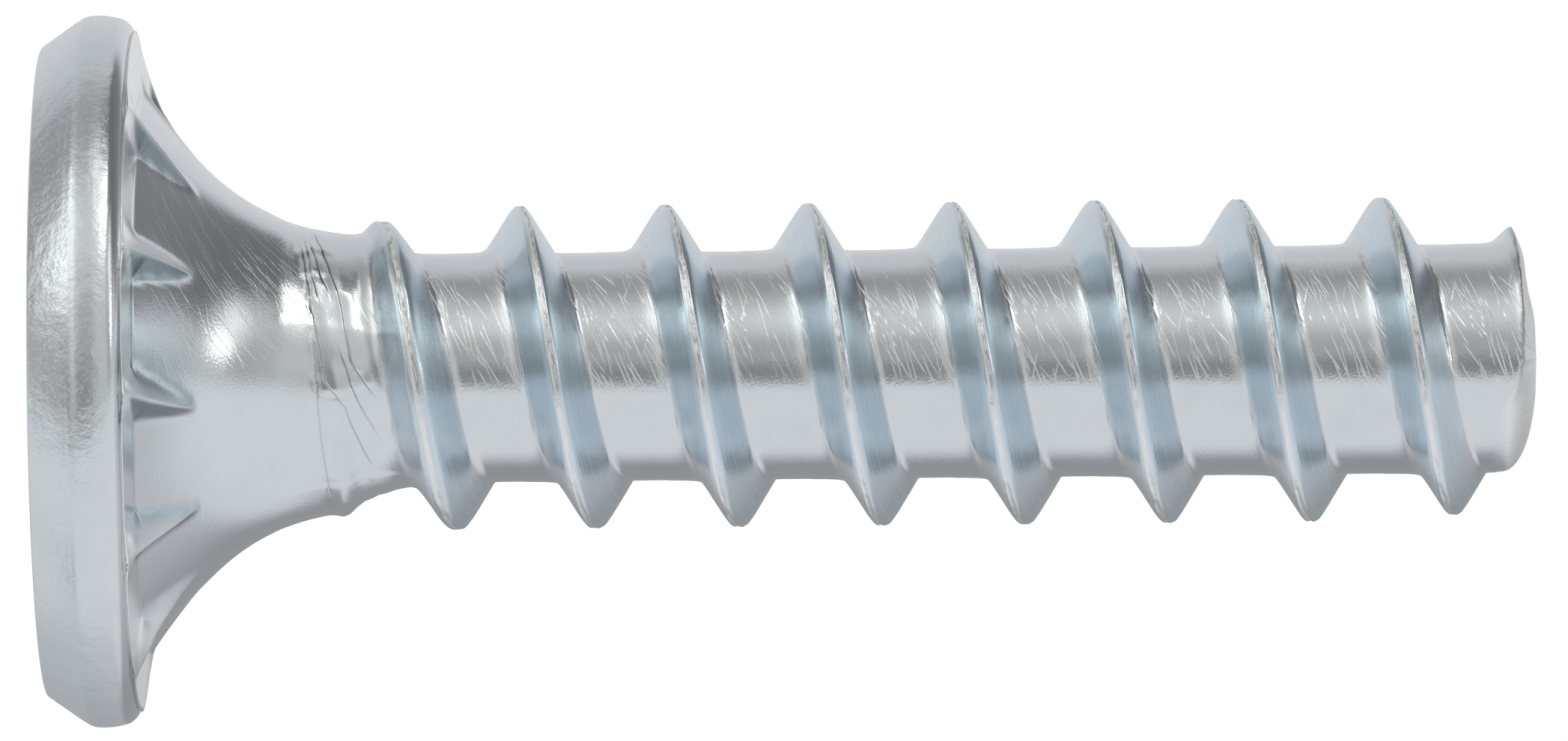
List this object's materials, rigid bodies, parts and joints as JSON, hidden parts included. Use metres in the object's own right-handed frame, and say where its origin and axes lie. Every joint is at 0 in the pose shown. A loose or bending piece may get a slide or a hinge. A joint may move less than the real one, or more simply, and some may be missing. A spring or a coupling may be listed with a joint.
{
  "type": "countersunk screw",
  "caption": "One-piece countersunk screw with a wide flat head, a flared neck with cutting ribs, a coarse thread up to the neck, a blunt sheared end and a lobed drive recess.",
  "frame": {"origin": "centre of the head's flat face, on the surface the screw stands on", "axes": "+Z along the screw's axis, from the head's face to the sheared end; +X across, with the first full crest passing over -X"},
  "size_m": [0.022, 0.022, 0.0461],
  "materials": {
    "zinc_plated_steel": "bright zinc-plated, light blue-grey, with fine rolling marks on the thread"
  },
  "bodies": {
    "root": {"countersunk_screw": "zinc_plated_steel"}
  },
  "joints": []
}
